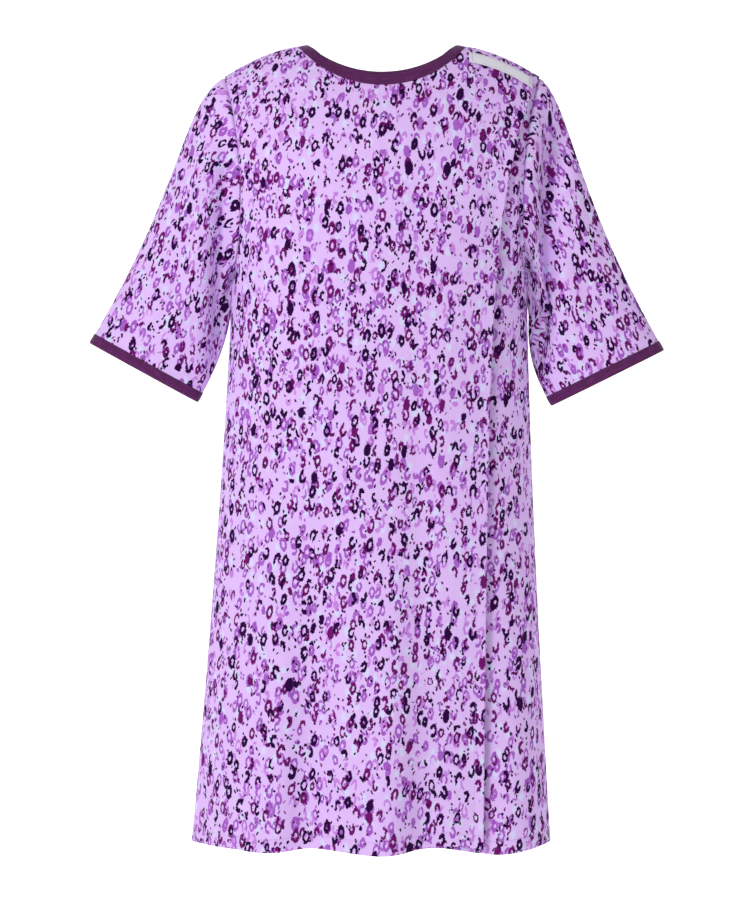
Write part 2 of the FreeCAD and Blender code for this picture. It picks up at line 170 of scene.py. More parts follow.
def half_width(drop):
    yoke = CHEST_HALF + YOKE_EXTRA * (1 + np.cos(math.pi * np.minimum(drop, -PIT_Z) / -PIT_Z)) / 2
    flare = np.maximum(0.0, (drop + PIT_Z) / (LENGTH + PIT_Z)) ** 1.35
    return np.where(drop < -PIT_Z, yoke, CHEST_HALF + (HEM_HALF - CHEST_HALF) * flare)


def sway(drop):
    return -HEM_SWAY * (np.maximum(drop, 0.0) / LENGTH) ** 1.2


def depth(side, drop):
    share = drop / LENGTH
    if side == BACK:
        full = 0.088 + 0.027 * share
    else:
        full = 0.098 + 0.027 * share + 0.012 * bump(drop, 0.280, 0.130)
    rest = np.clip(1 - drop / ROUND_DROP, 0.0, 1.0)
    return full * (1 - rest**2) ** ROUND_POWER


def height(x, drop):
    return -drop + ridge(x) * (1 - fade(drop / SHOULDER_FADE))


def drop_at(x, z):
    """Drop below the shoulder ridge at which the body passes through x and z."""
    drop = -z
    for _ in range(12):
        drop = -z + ridge(x) * (1 - fade(drop / SHOULDER_FADE))
    return np.maximum(drop, 2e-5)


def torso(side, turn, drop):
    x = sway(drop) + half_width(drop) * np.sin(turn)
    return np.stack([x, side * depth(side, drop) * np.cos(turn), height(x, drop)], -1)


def outward(side, turn, drop):
    """Unit normal of the smooth body, out of the gown."""
    step = 2e-5
    low = np.maximum(drop - step, 1e-6)
    along = torso(side, turn + 1e-4, drop) - torso(side, turn - 1e-4, drop)
    down = torso(side, turn, drop + step) - torso(side, turn, low)
    normal = np.cross(along, down) * side
    return normal / np.maximum(np.linalg.norm(normal, axis=-1, keepdims=True), 1e-12)


def soft_noise(x, z, seed):
    """Slow unevenness of hanging cloth, between about -1 and 1."""
    total = 0.0
    for i, (a, b) in enumerate(((9.0, 3.1), (17.0, 5.3), (26.0, 9.1), (41.0, 6.2))):
        total = total + np.sin(x * a + seed * (i + 1.7) + 1.3 * np.sin(z * b + seed + i)) / (i + 1.5)
    return total / 1.6


def folds(side, turn, drop):
    """How far the hanging cloth stands out from the smooth body."""
    sizes = bpy.context.scene.gown_sizes
    x = half_width(drop) * np.sin(turn)
    sides = 1 - np.abs(np.sin(turn)) ** 10
    swing = fade((drop - 0.52) / 0.62)
    if side == BACK:
        places, half_turns = BACK_FOLDS
        phase = math.pi * np.interp(x, places, half_turns)
    else:
        phase = x * 38 + 0.6
    out = sizes.hem_wave * swing * np.cos(phase + 0.4 * np.sin(drop * 5))
    out = out + 0.0035 * swing * np.cos(2.3 * phase + 2)
    calm = fade((drop - 0.03) / 0.15)
    out = out + 0.0013 * calm * soft_noise(x, drop, 2.0 if side == BACK else 5.0)
    if side == BACK:
        for deep, lean, across, wide, down, reach in BACK_DRAGS:
            out = out - deep * bump(x + lean * (drop - 0.2), across, wide) * bump(drop, down, reach)
    z = height(x, drop)
    seam_gap = np.where(z > PIT_Z, armhole_x(z) - np.abs(x), 1.0)
    crease = ARMHOLE_CREASE * bump(seam_gap, 0.0, 0.0045) * fade((drop - 0.012) / 0.03)
    return out * sides - crease


def free_edge_x(z):
    down = TIP_Z - z
    return 0.147 - 0.0105 * down + 0.070 * np.exp(-np.maximum(down, -0.05) / 0.150)


def armhole_x(z):
    fall = np.clip((TIP_Z - z) / (TIP_Z - PIT_Z), 0.0, 1.0)
    return TIP_X + (PIT_X - TIP_X) * fall - 4 * ARMHOLE_BOW * fall * (1 - fall)


def over_lift(turn, drop):
    """Height of the over panel above the body: on the snaps at the shoulders, close where it is sewn."""
    x = sway(drop) + half_width(drop) * np.sin(turn)
    edge = free_edge_x(height(x, drop))
    sewn = fade((-x - edge - 0.004) / 0.045)
    ridge_end = fade(drop / 0.014)
    lift = 0.0020 + (OVER_LIFT - 0.0020) * ridge_end
    hanging = fade((drop - 0.05) / 0.05)
    edge_roll = 0.0016 * bump(edge - x, 0.002, 0.008) * hanging
    return np.where(x < 0, lift * (1 - sewn) + SEWN_LIFT * sewn, lift + edge_roll)


def lift_of(layer, turn, drop):
    return over_lift(turn, drop) if layer == "over" else np.full(np.shape(turn + drop), UNDER_LIFT)


def side_of(layer):
    return FRONT if layer == "front" else BACK


def cloth_point(layer, turn, drop, stand=0.0):
    """A point of one layer, stand above the middle of its cloth."""
    side = side_of(layer)
    turn, drop = np.broadcast_arrays(np.asarray(turn, float), np.asarray(drop, float))
    lift = lift_of(layer, turn, drop) + folds(side, turn, drop) + stand
    if layer == "under":
        x = sway(drop) + half_width(drop) * np.sin(turn)
        past = x - free_edge_x(height(x, drop))
        hollow = 0.0060 * bump(past, 0.0010, 0.0070)
        lift = lift - hollow * fade((drop - 0.05) / 0.05) * (1 - np.abs(np.sin(turn)) ** 14)
    point = torso(side, turn, drop) + outward(side, turn, drop) * lift[..., None]
    if side == BACK:
        x = point[..., 0]
        lengthened = 0.003 * np.cos(x * 40 + 0.2) + 0.005 * fade((x - 0.06) / 0.10)
        lengthened = lengthened + 0.004 * fade((-x - 0.19) / 0.05)
        point[..., 2] -= fade((drop - 0.85) / 0.24) * lengthened
        if layer == "over":
            corner = fade((x - 0.02) / 0.12) * fade((drop - 0.8) / 0.3)
            point[..., 2] += 0.007 * corner
    return point


def at(layer, x, z, stand=0.0):
    """A point of one layer over a place given by x and z."""
    drop = drop_at(x, z)
    turn = np.arcsin(np.clip((x - sway(drop)) / half_width(drop), -0.99999, 0.99999))
    return cloth_point(layer, turn, drop, stand)


def edge_turns(layer, drops, sign):
    """Turn of a layer's left (-1) or right (1) edge at each drop."""
    free = (layer, sign) in (("over", 1), ("under", -1))
    turns = np.full(drops.shape, sign * 1.05)
    for _ in range(16):
        point = cloth_point(layer, turns, drops)
        if free:
            target = free_edge_x(point[:, 2])
        else:
            target = np.where(point[:, 2] > PIT_Z, armhole_x(point[:, 2]), 0.4)
        reach = half_width(drops) * np.maximum(np.cos(turns), 0.15)
        turns = turns + np.clip((sign * target - point[:, 0]) / reach, -0.08, 0.08)
        turns = np.clip(turns, -math.pi / 2, math.pi / 2)
    return turns


def neck_drop(layer, x):
    """Drop of the neck edge below the ridge, nothing past the neck points."""
    fall = NECK_DROPS[layer]
    radius = (NECK_HALF**2 + fall**2) / (2 * fall)
    arc = radius - fall - np.sqrt(radius**2 - np.minimum(np.abs(x), NECK_HALF) ** 2)
    return np.where(np.abs(x) < NECK_HALF, drop_at(x, arc), 2e-5)


def panel_drops():
    hem = bpy.context.scene.gown_sizes.hem
    turns = np.linspace(0, math.pi / 2, 40)
    rounded = 2e-5 + ROUND_DROP * (1 - np.cos(turns))
    straight = np.linspace(ROUND_DROP, LENGTH - hem - 0.004, 132)[1:]
    folded = LENGTH - hem + np.array([-0.0016, -0.0006, 0.0006, 0.0016, 0.004, 0.009, 0.014, 0.0172])
    return np.concatenate([rounded, straight, folded, [LENGTH - 2e-4]])


def panel_columns():
    """Places along the top edge: shoulder, neck, shoulder, close together at the ends."""
    ends = np.array([0.0, 0.0009, 0.0019, 0.0031, 0.0046, 0.0066, 0.0090, 0.0120, 0.0150, 0.0170, 0.0190])
    shoulder = TIP_X - np.concatenate([ends, np.linspace(0.022, TIP_X - NECK_HALF, 20)])
    neck = NECK_HALF * np.sin(np.linspace(-math.pi / 2, math.pi / 2, 49))
    return np.concatenate([-shoulder[:-1], neck, shoulder[::-1][1:]])


def panel_places(layer):
    """Turn and drop of every point of a panel, rows down and columns across."""
    drops = panel_drops()
    left, right = edge_turns(layer, drops, -1), edge_turns(layer, drops, 1)
    tops = panel_columns()
    first = np.arcsin(np.clip(tops / half_width(0.0), -1, 1))
    share = np.clip((first - first[0]) / (first[-1] - first[0]), 0, 1)
    turns = left[:, None] + (right - left)[:, None] * share[None, :]
    extra = neck_drop(layer, tops)[None, :]
    down = drops[:, None] + (extra - 2e-5) * (1 - fade(drops[:, None] / 0.22))
    return turns, np.minimum(down, LENGTH)


def edge_distance(layer, point):
    """How far a point lies inside its layer's free edge."""
    if layer == "front":
        return np.full(point.shape[:-1], 1.0)
    sign = 1 if layer == "over" else -1
    return free_edge_x(point[..., 2]) - sign * point[..., 0]


def panel_sheets(layer):
    """Outer and inner face of a panel, with its hem and facing folded double."""
    sizes = bpy.context.scene.gown_sizes
    turns, drops = panel_places(layer)
    middle = cloth_point(layer, turns, drops)
    inside_edge, above_hem = edge_distance(layer, middle), LENGTH - drops
    double = np.maximum(
        1 - fade((inside_edge - sizes.facing) / 0.002), 1 - fade((above_hem - sizes.hem) / 0.002)
    )
    groove = np.maximum(bump(inside_edge, sizes.facing, 0.0022), bump(above_hem, sizes.hem, 0.0016))
    outer = cloth_point(layer, turns, drops, sizes.cloth / 2 + 0.0003 * double - 0.0005 * groove)
    inner = cloth_point(layer, turns, drops, -sizes.cloth / 2 - 0.0004 * double)
    return outer, inner


def lengths_along(grid, axis):
    steps = np.linalg.norm(np.diff(grid, axis=axis), axis=-1)
    pad = [(0, 0), (0, 0)]
    pad[axis] = (1, 0)
    return np.cumsum(np.pad(steps, pad), axis=axis)


def lengths_lay(grid):
    """Flat places of a grid, measured along its rows and columns."""
    return np.stack([lengths_along(grid, 1), -lengths_along(grid, 0)], -1)


def sleeve_lay(name, grid):
    """Flat places of a sleeve: both ways round from its top line to the underarm seam, and down it."""
    down = sleeve_direction(name)
    steps = np.diff(np.concatenate([grid, grid[:, :1]], 1), axis=1)
    steps = steps - (steps @ down)[..., None] * down
    lengths = np.cumsum(np.linalg.norm(steps, axis=-1), axis=1)
    across = np.concatenate([np.zeros((len(grid), 1)), lengths[:, :-1]], 1)
    across = np.where(SLEEVE_TURNS > math.pi, across - lengths[:, -1:], across)
    return np.stack([across, -(grid @ down)], -1)


def panel_lay(layer, turns, drops):
    """Flat pattern places of a panel: level across from its middle and straight down its grain."""
    side = side_of(layer)
    part = np.linspace(0, 1, 17)
    angle = turns[..., None] * part
    wide, deep = half_width(drops)[..., None], depth(side, drops)[..., None]
    across = np.trapz(np.hypot(wide * np.cos(angle), deep * np.sin(angle)), angle, axis=-1)
    levels = 2e-5 + LENGTH * np.linspace(0, 1, 3000) ** 2
    steps = np.hypot(np.diff(levels), np.diff(0.85 * depth(side, levels)))
    down = np.interp(drops, levels, np.concatenate([[0.0], np.cumsum(steps)]))
    return np.stack([across + sway(drops), -down], -1)


# Sleeves


def curve_points(points, share):
    points = [np.array(p)[None, :] * np.ones((len(share), 1)) for p in points]
    while len(points) > 1:
        points = [a + (b - a) * share[:, None] for a, b in zip(points, points[1:])]
    return points[0]


def sleeve_direction(name):
    (ox, oz), (ix, iz) = CUFFS[name]
    down = np.array([iz - oz, ox - ix])
    down = down if down[1] < 0 else -down
    return np.array([down[0], 0.0, down[1]]) / np.linalg.norm(down)


def armhole_ring(name, turns):
    """The armhole's sewn line, read off the panels that the sleeve is sewn to."""
    sign = -1 if name == "left" else 1
    drops = panel_drops()
    centre, half = (TIP_Z + PIT_Z) / 2, (TIP_Z - PIT_Z) / 2
    z = centre + half * np.cos(turns)
    ring = np.zeros((len(turns), 3))
    for layer in ("front", "over" if name == "left" else "under"):
        edge = cloth_point(layer, edge_turns(layer, drops, sign), drops)
        order = np.argsort(edge[:, 2])
        chosen = (np.sin(turns) > 0) == (layer == "front")
        for axis in range(3):
            ring[chosen, axis] = np.interp(z[chosen], edge[order, 2], edge[order, axis])
    return ring


def sleeve_shape(name, shares, turns, stand=0.0):
    """Points of a sleeve, share 0 at the armhole to 1 at its end, turned round its oval."""
    sign = -1 if name == "left" else 1
    (ox, oz), (ix, iz) = CUFFS[name]
    outer = curve_points([(sign * TIP_X, TIP_Z), *SLEEVE_OUTER[name], (ox, oz)], shares)
    inner = curve_points([(sign * PIT_X, PIT_Z), *SLEEVE_INNER[name], (ix, iz)], shares)
    centre, half = (outer + inner) / 2, (outer - inner) / 2
    cos, sin = np.cos(turns)[None, :], np.sin(turns)[None, :]
    ring = armhole_ring(name, turns)
    start = np.hypot(np.abs(ring[:, 1])[None, :], 0.014 * np.abs(sin))
    s = shares[:, None]
    deep = start + (CUFF_HALF_DEPTH * np.abs(sin) - start) * s
    x = centre[:, :1] + half[:, :1] * cos - sign * ARMHOLE_BOW * ((1 - s) * sin) ** 2
    z = centre[:, 1:] + half[:, 1:] * cos
    point = np.stack([x, np.sign(sin) * deep, z], -1)
    point = point + (ring[None] - point[:1]) * (1 - fade(s / 0.3))[..., None]
    across = np.roll(point, -1, 1) - np.roll(point, 1, 1)
    down = np.gradient(point, axis=0)
    normal = np.cross(across, down)
    normal = normal / np.maximum(np.linalg.norm(normal, axis=-1, keepdims=True), 1e-9)
    flip = np.sign((normal[:, :, 1] * np.sign(np.sin(turns))[None, :]).sum())
    normal = normal * (flip or 1.0)
    lift = sleeve_folds(name, point, s, sin) + stand
    return point + normal * lift[..., None], normal


def sleeve_folds(name, point, share, sin):
    """Soft drags from the armhole down the sleeve."""
    x, z = np.abs(point[..., 0]), point[..., 2]
    rise = fade(share / 0.04) * (1 - 0.85 * fade((share - 0.72) / 0.25))
    drags = 0.0
    for deep, lean, level, across, wide, start, fade_in in SLEEVE_DRAGS[name]:
        begun = fade((-z - start) / fade_in)
        drags = drags + deep * bump(x + lean * (z + level), across, wide) * begun
    depth_share = np.clip(np.abs(sin), 0, 1) ** 0.7
    uneven = 0.0012 * soft_noise(x * 1.4, z * 2, 3.0 if name == "left" else 8.0)
    beside_seam = ARMHOLE_CREASE * (1 - bump(share, 0.0, 0.011)) * (1 - fade((share - 0.02) / 0.28))
    return (uneven - drags) * rise * depth_share + beside_seam * np.clip(np.abs(sin) * 2, 0, 1)


SLEEVE_TURNS = np.linspace(0, 2 * math.pi, 97)[:-1]


def sleeve_shares():
    return np.concatenate([[0.0, 0.006, 0.014], np.linspace(0.025, 0.995, 62), [1.0]])


# Meshes


def quads(rows, columns, around=False, start=0, flip=False):
    count = columns if around else columns - 1
    i, j = np.meshgrid(np.arange(rows - 1), np.arange(count), indexing="ij")
    k = (j + 1) % columns
    faces = np.stack([i * columns + j, i * columns + k, (i + 1) * columns + k, (i + 1) * columns + j], -1)
    faces = faces.reshape(-1, 4) + start
    return faces[:, ::-1] if flip else faces


def rim(indices_a, indices_b):
    """Faces that join two closed runs of points."""
    nexts = [np.roll(run, -1) for run in (indices_a, indices_b)]
    return np.stack([indices_a, nexts[0], nexts[1], indices_b], -1)


def shell(outer, inner, lay, around=False):
    """Closed skin between two grids of the same cloth, as points, faces and flat places."""
    rows, columns = outer.shape[:2]
    count = rows * columns
    index = np.arange(count).reshape(rows, columns)
    faces = [quads(rows, columns, around), quads(rows, columns, around, count, True)]
    if around:
        faces.append(rim(index[0] + count, index[0]))
        faces.append(rim(index[-1], index[-1] + count))
    else:
        loop = np.concatenate([index[0, :-1], index[:-1, -1], index[-1, :0:-1], index[:0:-1, 0]])
        faces.append(rim(loop + count, loop))
    points = np.concatenate([outer.reshape(-1, 3), inner.reshape(-1, 3)])
    places = np.concatenate([lay.reshape(-1, 2)] * 2)
    return points, np.concatenate(faces), places


def joined(parts):
    points, faces, places, start = [], [], [], 0
    for p, f, l in parts:
        points.append(p)
        faces.append(f + start)
        places.append(l)
        start += len(p)
    return np.concatenate(points), np.concatenate(faces), np.concatenate(places)


def make_piece(name, made, material, turned_in=False):
    """A smooth-shaded mesh object with its flat places as a UV map."""
    points, faces, places = made
    mesh = bpy.data.meshes.new(name)
    mesh.from_pydata(points.tolist(), [], faces.tolist())
    if turned_in:
        mesh.flip_normals()
    layer = mesh.uv_layers.new(name="Cloth")
    corner = np.zeros(len(mesh.loops), np.int32)
    mesh.loops.foreach_get("vertex_index", corner)
    layer.data.foreach_set("uv", places[corner].astype(np.float32).ravel())
    mesh.polygons.foreach_set("use_smooth", np.ones(len(mesh.polygons), bool))
    mesh.materials.append(material)
    mesh.validate()
    piece = bpy.data.objects.new(name, mesh)
    bpy.context.scene.collection.objects.link(piece)
    return piece


def swept(sections, closed_path=False):
    """Skin over a run of closed sections, an array of path by section points."""
    count, around = sections.shape[:2]
    along = lengths_along(sections, 0)
    round_it = lengths_along(sections, 1)
    places = np.stack([along, round_it], -1)
    path = np.concatenate([sections, sections[:1]]) if closed_path else sections
    faces = quads(len(path), around, True)
    faces = faces % (count * around)
    points = sections.reshape(-1, 3)
    if not closed_path:
        caps = [np.arange(around), np.arange(around) + (count - 1) * around]
        ends = [
            [cap[i], cap[i + 1], cap[around - 2 - i], cap[around - 1 - i]]
            for cap in caps
            for i in range(around // 2 - 1)
        ]
        faces = np.concatenate([faces, np.array(ends)])
    return points, faces, places.reshape(-1, 2)


def resample(path, normals, pitch):
    """Places along a path about pitch apart, with tangent and normal."""
    steps = np.linalg.norm(np.diff(path, axis=0), axis=-1)
    along = np.concatenate([[0], np.cumsum(steps)])
    count = max(2, int(along[-1] / pitch))
    middles = (np.arange(count) + 0.5) * along[-1] / count

    def read(values, where):
        return np.stack([np.interp(where, along, values[:, k]) for k in range(3)], -1)

    ahead = read(path, np.minimum(middles + pitch / 3, along[-1]))
    behind = read(path, np.maximum(middles - pitch / 3, 0))
    tangent = ahead - behind
    tangent /= np.maximum(np.linalg.norm(tangent, axis=-1, keepdims=True), 1e-9)
    return read(path, middles), tangent, read(normals, middles)


def stitches(path, normals, pitch=None, share=0.72, width=0.00034, zigzag=0.0):
    """Machine stitches along a path: short threads that dip into the cloth at both ends."""
    pitch = pitch or bpy.context.scene.gown_sizes.stitch
    middle, tangent, normal = resample(path, normals, pitch)
    across = np.cross(tangent, normal)
    across /= np.maximum(np.linalg.norm(across, axis=-1, keepdims=True), 1e-9)
    lean = np.where(np.arange(len(middle)) % 2 == 0, 1.0, -1.0)[:, None] * zigzag
    ring = np.array([(math.cos(a), math.sin(a)) for a in np.arange(6) * math.pi / 3])
    rows = []
    for where, sink, size in ((-0.5, -0.7, 0.55), (-0.28, 0.35, 1.0), (0.28, 0.35, 1.0), (0.5, -0.7, 0.55)):
        centre = middle + tangent * where * pitch * share + normal * sink * width + across * lean * where
        spokes = across[:, None] * ring[None, :, :1] + normal[:, None] * ring[None, :, 1:] * 0.8
        rows.append(centre[:, None] + spokes * width * size)
    sections = np.stack(rows, 1)
    single = quads(4, 6, True)
    caps = np.array([[0, 1, 4, 5], [1, 2, 3, 4], [23, 22, 19, 18], [22, 21, 20, 19]])
    faces = np.concatenate([single, caps])
    count = len(middle)
    all_faces = (faces[None] + (np.arange(count) * 24)[:, None, None]).reshape(-1, 4)
    points = sections.reshape(-1, 3)
    return points, all_faces, points[:, [0, 2]]


def normals_of(outer, inner):
    normal = outer - inner
    return normal / np.maximum(np.linalg.norm(normal, axis=-1, keepdims=True), 1e-9)


def seam_line(layer, x, z):
    """A line drawn on a layer's outer face, with its normals."""
    thick = bpy.context.scene.gown_sizes.cloth
    top = at(layer, x, z, thick / 2)
    return top, normals_of(top, at(layer, x, z, -thick / 2))


# Materials


class Value:
    """A socket of a material that takes part in Python sums."""

    def __init__(self, maker, socket):
        self.maker, self.socket = maker, socket

    def sum_with(self, operation, other, swapped=False):
        pair = (other, self) if swapped else (self, other)
        kinds = [v.socket.type if isinstance(v, Value) else type(v).__name__ for v in pair]
        vector = any(kind in ("VECTOR", "RGBA", "tuple") for kind in kinds)
        node = "ShaderNodeVectorMath" if vector else "ShaderNodeMath"
        return self.maker.node(node, {"operation": operation}, {0: pair[0], 1: pair[1]})[0]

    def __add__(self, other):
        return self.sum_with("ADD", other)

    def __radd__(self, other):
        return self.sum_with("ADD", other, True)

    def __sub__(self, other):
        return self.sum_with("SUBTRACT", other)

    def __rsub__(self, other):
        return self.sum_with("SUBTRACT", other, True)

    def __mul__(self, other):
        return self.sum_with("MULTIPLY", other)

    def __rmul__(self, other):
        return self.sum_with("MULTIPLY", other, True)

    def __truediv__(self, other):
        return self.sum_with("DIVIDE", other)

    def __rtruediv__(self, other):
        return self.sum_with("DIVIDE", other, True)

    def __lt__(self, other):
        return self.sum_with("LESS_THAN", other)

    def __gt__(self, other):
        return self.sum_with("GREATER_THAN", other)

    def __abs__(self):
        return self.maker.node("ShaderNodeMath", {"operation": "ABSOLUTE"}, {0: self})[0]


class Finish:
    """One material under construction."""

    def __init__(self, name, **shader):
        self.material = bpy.data.materials.new(name)
        self.material.use_nodes = True
        self.tree = self.material.node_tree
        self.shader = self.tree.nodes["Principled BSDF"]
        for socket, value in shader.items():
            self.shader.inputs[socket.replace("_", " ")].default_value = value

    def node(self, kind, settings, sockets):
        """Adds a node: settings first, then the values or links of its sockets."""
        node = self.tree.nodes.new(kind)
        for key, value in settings.items():
            setattr(node, key, value)
        for key, value in sockets.items():
            socket = node.inputs[key]
            if isinstance(value, Value):
                self.tree.links.new(value.socket, socket)
            elif socket.type in ("VECTOR", "RGBA") and not isinstance(value, (tuple, list)):
                socket.default_value = (value, value, value, 1.0)[: len(socket.default_value)]
            else:
                socket.default_value = tuple(value) if isinstance(value, (tuple, list)) else value
        return [Value(self, output) for output in node.outputs]

    def places(self):
        """Flat pattern places, in millimetres."""
        return self.node("ShaderNodeUVMap", {"uv_map": "Cloth"}, {})[0] * 1000.0

    def noise(self, places, size, detail=2.0):
        """Smooth noise of about this size in millimetres: value and colour."""
        return self.node(
            "ShaderNodeTexNoise",
            {"noise_dimensions": "2D"},
            {"Vector": places, "Scale": 1.0 / size, "Detail": detail, "Roughness": 0.55},
        )

    def apart(self, vector):
        return self.node("ShaderNodeSeparateXYZ", {}, {0: vector})

    def sine(self, value):
        return self.node("ShaderNodeMath", {"operation": "SINE"}, {0: value})[0]

    def root(self, value):
        return self.node("ShaderNodeMath", {"operation": "SQRT"}, {0: value})[0]

    def larger(self, a, b):
        return self.node("ShaderNodeMath", {"operation": "MAXIMUM"}, {0: a, 1: b})[0]

    def step_down(self, value, edge, soft):
        """1 where value is well under edge, 0 over it."""
        return self.node(
            "ShaderNodeMapRange",
            {"interpolation_type": "SMOOTHSTEP"},
            {"Value": value, 1: edge - soft, 2: edge + soft, 3: 1.0, 4: 0.0},
        )[0]

    def mix(self, share, a, b):
        a, b = [c if isinstance(c, Value) else (*c, 1.0)[:4] for c in (a, b)]
        return self.node("ShaderNodeMix", {"data_type": "RGBA"}, {0: share, 6: a, 7: b})[2]

    def feed(self, **sockets):
        for name, value in sockets.items():
            self.tree.links.new(value.socket, self.shader.inputs[name.replace("_", " ")])

    def raise_by(self, height, distance, strength=1.0):
        inputs = {"Height": height, "Distance": distance, "Strength": strength}
        bumped = self.node("ShaderNodeBump", {}, inputs)
        self.feed(Normal=bumped[0])


def scatter(finish, places, cell, tall, shift, share, crowd):
    """One loose scatter of spots: place inside the spot, three random numbers, and whether it is there."""
    ratio = (1.0 / cell, 1.0 / (cell * tall), 0.0)
    grid = (places + shift) * ratio
    spots = finish.node(
        "ShaderNodeTexVoronoi",
        {"voronoi_dimensions": "2D", "feature": "F1"},
        {"Vector": grid, "Scale": 1.0, "Randomness": 0.84},
    )
    random = finish.apart(spots[1])
    inside = (grid - spots[2]) * (cell, cell * tall, 0.0)
    seed = spots[2] + (3.7, 1.9, 0.0)
    chance = finish.node("ShaderNodeTexWhiteNoise", {"noise_dimensions": "3D"}, {0: seed})
    there = chance[0] < (crowd * (2.0 * share))
    more = finish.apart(chance[1])
    return inside, random, more, there


def painted_rings(finish, places, wobble, cell, shift, share, crowd, size, stroke):
    """Hand-painted rings, broken rings and blobs, as a mask and a random number for each."""
    inside, random, more, there = scatter(finish, places, cell, 1.7, shift, share, crowd)
    x, y = finish.apart(inside)[:2]
    lean = (more[0] - 0.5) * 0.4
    x = x + y * lean
    radius = finish.root(x * x + y * y * 0.28 + 0.0001)
    uneven = radius + (wobble - 0.5) * 2.2
    line = size * (0.72 + 0.5 * random[0])
    band = abs(uneven - line) - (stroke * (0.62 + 0.5 * more[1]))
    ring = finish.step_down(band, 0.0, 0.22)
    turn = random[1] * 6.283
    way = (x * finish.sine(turn) + y * 0.53 * finish.sine(turn + 1.571)) / radius
    opened = way < (0.35 + 0.95 * random[2])
    blob = finish.step_down(uneven, line + 0.4, 0.22) * (more[2] < 0.07)
    return finish.larger(ring * opened, blob) * there, random[2]


def painted_dashes(finish, places, cell, shift, share, crowd):
    """Short painted dabs, as a mask."""
    inside, random, _, there = scatter(finish, places, cell, 1.15, shift, share, crowd)
    x, y = finish.apart(inside)[:2]
    x = x + y * ((random[0] - 0.5) * 1.1)
    radius = finish.root(x * x * 2.3 + y * y * (0.4 + 0.9 * random[1]))
    return finish.step_down(radius, 2.0, 0.25) * there


def weave(finish, places, pitch, slant=0.0):
    """Raised threads of a plain weave or, with a slant, of a twill."""
    x, y = finish.apart(places)[:2]
    across = finish.sine(x * (6.283 / pitch))
    if slant:
        return finish.sine((x + y * slant) * (6.283 / pitch)) * 0.7 + across * 0.2
    return across * finish.sine(y * (6.283 / pitch))


def print_cloth():
    """Lilac cloth with painted spots in four purples."""
    colours = bpy.context.scene.gown_colours
    finish = Finish("PrintedCloth", Roughness=0.9, Specular_IOR_Level=0.08)
    flat = finish.places()
    fine = finish.noise(flat, 4.2, 1.0)
    warped = flat + (fine[1] - (0.5, 0.5, 0.5)) * (1.9, 1.9, 0.0)
    wobble = finish.noise(flat, 2.4, 1.0)[0]
    crowd = finish.noise(flat + (310.0, 90.0, 0.0), 46.0, 2.0)[0]
    thin = 1.0 - crowd
    cloudy = finish.noise(flat, 120.0, 3.0)[0]
    ground = finish.mix(cloudy * 0.5, tuple(colours.ground), [c * 0.93 for c in colours.ground])

    inside, random, _, there = scatter(finish, warped, 13.0, 1.3, (17.0, 3.0, 0.0), 0.30, thin)
    x, y = finish.apart(inside)[:2]
    haze = finish.step_down(finish.root(x * x + y * y * 0.4), 3.6, 2.0) * there
    colour = finish.mix(haze * 0.85, ground, tuple(colours.haze))

    mask, tone = painted_rings(finish, warped, wobble, 15.5, (5.0, 41.0, 0.0), 0.66, thin + 0.05, 3.1, 1.55)
    middle = finish.mix(tone < 0.42, tuple(colours.purple), tuple(colours.orchid))
    colour = finish.mix(mask * 0.95, colour, middle)
    mask, tone = painted_rings(finish, warped, wobble, 16.5, (61.0, 7.0, 0.0), 0.54, crowd, 3.0, 1.55)
    middle = finish.mix(tone < 0.30, tuple(colours.purple), tuple(colours.orchid))
    colour = finish.mix(mask * 0.9, colour, middle)
    dashes = painted_dashes(finish, warped, 7.5, (3.0, 77.0, 0.0), 0.10, crowd)
    colour = finish.mix(dashes * 0.9, colour, tuple(colours.purple))

    mask, tone = painted_rings(finish, warped, wobble, 17.0, (29.0, 13.0, 0.0), 0.55, thin + 0.03, 3.0, 1.6)
    colour = finish.mix(mask, colour, tuple(colours.plum))
    dashes = painted_dashes(finish, warped, 6.8, (13.0, 9.0, 0.0), 0.13, crowd)
    colour = finish.mix(dashes, colour, tuple(colours.plum))

    mask, tone = painted_rings(finish, warped, wobble, 17.5, (83.0, 59.0, 0.0), 0.58, crowd + 0.02, 3.1, 1.7)
    colour = finish.mix(mask, colour, tuple(colours.eggplant))
    dashes = painted_dashes(finish, warped, 6.4, (31.0, 23.0, 0.0), 0.17, crowd)
    colour = finish.mix(dashes, colour, tuple(colours.eggplant))

    threads = weave(finish, flat, 0.55)
    finish.feed(Base_Color=colour)
    finish.feed(Roughness=0.84 + threads * 0.05)
    creases = finish.noise(flat, 28.0, 4.0)[0]
    finish.raise_by(threads * 0.12 + creases * 1.6, 0.0006)
    return finish.material


def binding_cloth():
    """Plum binding tape: a close weave, with a painted sheen and painted highlight streaks in its colour,
    and a wear tone that paints shade into its creases.
    """
    colour = bpy.context.scene.gown_colours.binding
    finish = Finish("PlumBinding", Roughness=0.55, Specular_IOR_Level=0.22)
    flat = finish.places()
    wear_and_crease_shade = finish.noise(flat * (1.0, 0.35, 1.0), 7.0, 3.0)[0]
    threads = weave(finish, flat, 0.45, 0.6)
    # Random wear tone whose dark places are the creases of the bump below, so it is partly painted crease
    # shade.
    tone = finish.mix(wear_and_crease_shade, [c * 0.72 for c in colour], [min(1.0, c * 1.32) for c in colour])
    # Painted highlight: sparse light streaks and an overall painted sheen lighten the binding's colour.
    painted_highlight_streaks = finish.step_down(finish.noise(flat * (0.45, 2.2, 1.0), 9.0, 2.0)[0], 0.40, 0.06)
    painted_sheen = threads * 0.06 + 0.05 + painted_highlight_streaks * 0.35
    finish.feed(Base_Color=finish.mix(painted_sheen, tone, [min(1.0, c * 2.4) for c in colour]))
    finish.feed(Roughness=0.46 + wear_and_crease_shade * 0.2)
    finish.raise_by(threads * 0.15 + wear_and_crease_shade * 0.8, 0.0006)
    return finish.material


